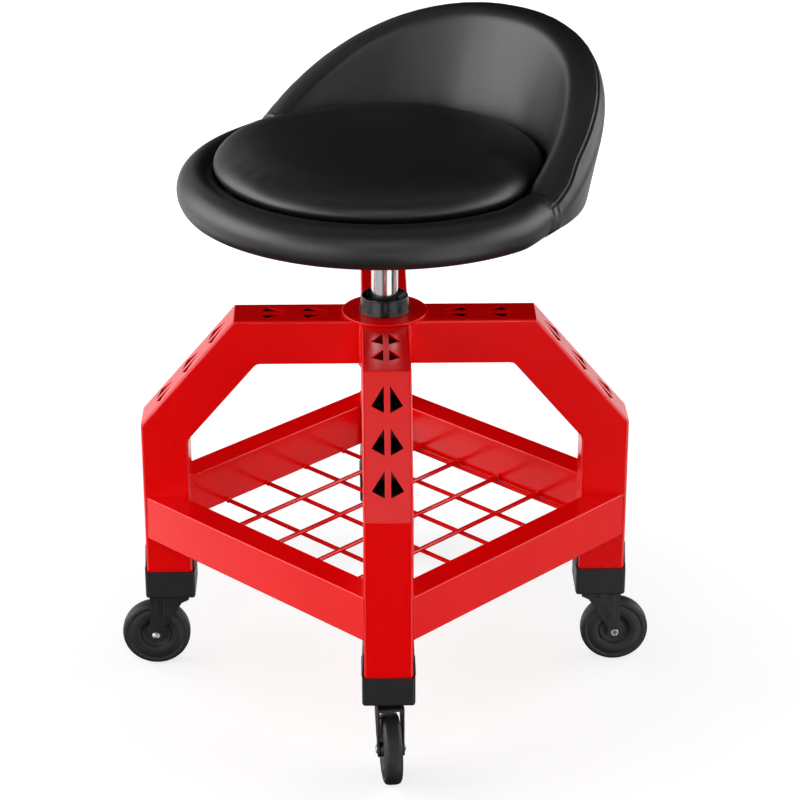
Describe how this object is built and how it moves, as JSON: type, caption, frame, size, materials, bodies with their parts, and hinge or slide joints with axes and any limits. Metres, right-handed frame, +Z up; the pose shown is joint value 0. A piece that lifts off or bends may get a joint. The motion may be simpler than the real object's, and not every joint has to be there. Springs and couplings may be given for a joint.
{
  "type": "rolling workshop seat",
  "caption": "Low rolling workshop seat: round padded seat with a wrap-around back on a gas spring, box-section frame, wire-floored parts tray and swivel casters.",
  "frame": {"origin": "on the floor, under the column's axis", "axes": "+Z up; the tray's sides run along X and Y and the legs stand on the diagonals; the sitter faces -Y, turned 4 degrees"},
  "size_m": [0.425, 0.4508, 0.7023],
  "materials": {
    "red_paint": "gloss paint",
    "black_plastic": "satin",
    "black_steel": "black coated",
    "chrome": "polished",
    "zinc": "zinc plated",
    "black_leather": "fine grain, semi-gloss",
    "wheel_black": "satin",
    "plywood": "bare",
    "black_cloth": "non-woven"
  },
  "bodies": {
    "base": {"leg_front_left": "red_paint", "foot_socket_front_left": "black_plastic", "caster_stem_front_left": "zinc", "caster_bearing_front_left": "black_steel", "leg_back_left": "red_paint", "foot_socket_back_left": "black_plastic", "caster_stem_back_left": "zinc", "caster_bearing_back_left": "black_steel", "leg_back_right": "red_paint", "foot_socket_back_right": "black_plastic", "caster_stem_back_right": "zinc", "caster_bearing_back_right": "black_steel", "leg_front_right": "red_paint", "foot_socket_front_right": "black_plastic", "caster_stem_front_right": "zinc", "caster_bearing_front_right": "black_steel", "tray_rail_front": "red_paint", "tray_rail_left": "red_paint", "tray_rail_back": "red_paint", "tray_rail_right": "red_paint", "hub_sleeve": "red_paint", "hub_plate": "red_paint", "tray_grid": "red_paint", "gas_cylinder": "black_steel", "guide_collar": "black_plastic", "thrust_washer_lower": "zinc", "thrust_bearing": "zinc"},
    "spindle": {"piston_rod": "zinc", "retaining_clip": "zinc", "thrust_washer_upper": "zinc"},
    "seat": {"pressure_tube": "chrome", "seat_plate": "black_steel", "lift_socket": "black_steel", "lever_pivot_pin": "zinc", "seat_screw_1": "zinc", "seat_screw_2": "zinc", "seat_screw_3": "zinc", "seat_screw_4": "zinc", "seat_board": "plywood", "underside_cloth": "black_cloth", "backrest_shell": "plywood", "seat_bolster": "black_leather", "seat_backrest": "black_leather", "seat_cushion": "black_leather"},
    "lever": {"lever_arm": "black_steel", "lever_grip": "black_plastic"},
    "button": {"release_button": "zinc"},
    "fork_front_left": {"caster_fork_front_left": "black_steel", "caster_axle_front_left": "zinc"},
    "wheel_front_left": {"caster_wheel_front_left": "wheel_black"},
    "fork_back_left": {"caster_fork_back_left": "black_steel", "caster_axle_back_left": "zinc"},
    "wheel_back_left": {"caster_wheel_back_left": "wheel_black"},
    "fork_back_right": {"caster_fork_back_right": "black_steel", "caster_axle_back_right": "zinc"},
    "wheel_back_right": {"caster_wheel_back_right": "wheel_black"},
    "fork_front_right": {"caster_fork_front_right": "black_steel", "caster_axle_front_right": "zinc"},
    "wheel_front_right": {"caster_wheel_front_right": "wheel_black"}
  },
  "joints": [
    {"name": "seat_turn", "type": "hinge", "parent": "base", "child": "spindle", "pos_m": [0, 0, 0.225], "axis": [0, 0, 1], "continuous": true},
    {"name": "seat_height", "type": "slide", "parent": "spindle", "child": "seat", "axis": [0, 0, 1], "range_m": [0, 0.12]},
    {"name": "lever_tilt", "type": "hinge", "parent": "seat", "child": "lever", "pos_m": [-0.0399, -0.00279, 0.526], "axis": [-0.0698, 0.9976, 0], "range_deg": [0, 5], "stiffness_Nm_per_rad": 3, "springref_deg": -8.59},
    {"name": "button_press", "type": "slide", "parent": "seat", "child": "button", "axis": [0, 0, -1], "range_m": [0, 0.0036]},
    {"name": "swivel_front_left", "type": "hinge", "parent": "base", "child": "fork_front_left", "pos_m": [0.16652, -0.16652, 0.088], "axis": [0, 0, 1], "continuous": true},
    {"name": "roll_front_left", "type": "hinge", "parent": "fork_front_left", "child": "wheel_front_left", "pos_m": [0.18113, -0.17836, 0.0375], "axis": [0.6293, 0.7771, 0], "continuous": true},
    {"name": "swivel_back_left", "type": "hinge", "parent": "base", "child": "fork_back_left", "pos_m": [0.16652, 0.16652, 0.088], "axis": [0, 0, 1], "continuous": true},
    {"name": "roll_back_left", "type": "hinge", "parent": "fork_back_left", "child": "wheel_back_left", "pos_m": [0.17982, 0.17982, 0.0375], "axis": [-0.7071, 0.7071, 0], "continuous": true},
    {"name": "swivel_back_right", "type": "hinge", "parent": "base", "child": "fork_back_right", "pos_m": [-0.16652, 0.16652, 0.088], "axis": [0, 0, 1], "continuous": true},
    {"name": "roll_back_right", "type": "hinge", "parent": "fork_back_right", "child": "wheel_back_right", "pos_m": [-0.17982, 0.17982, 0.0375], "axis": [-0.7071, -0.7071, 0], "continuous": true},
    {"name": "swivel_front_right", "type": "hinge", "parent": "base", "child": "fork_front_right", "pos_m": [-0.16652, -0.16652, 0.088], "axis": [0, 0, 1], "continuous": true},
    {"name": "roll_front_right", "type": "hinge", "parent": "fork_front_right", "child": "wheel_front_right", "pos_m": [-0.17982, -0.17982, 0.0375], "axis": [0.7071, -0.7071, 0], "continuous": true}
  ],
  "couplings": [
    {"joint": "button_press", "follows": "lever_tilt", "m_per_rad": 0.04}
  ]
}
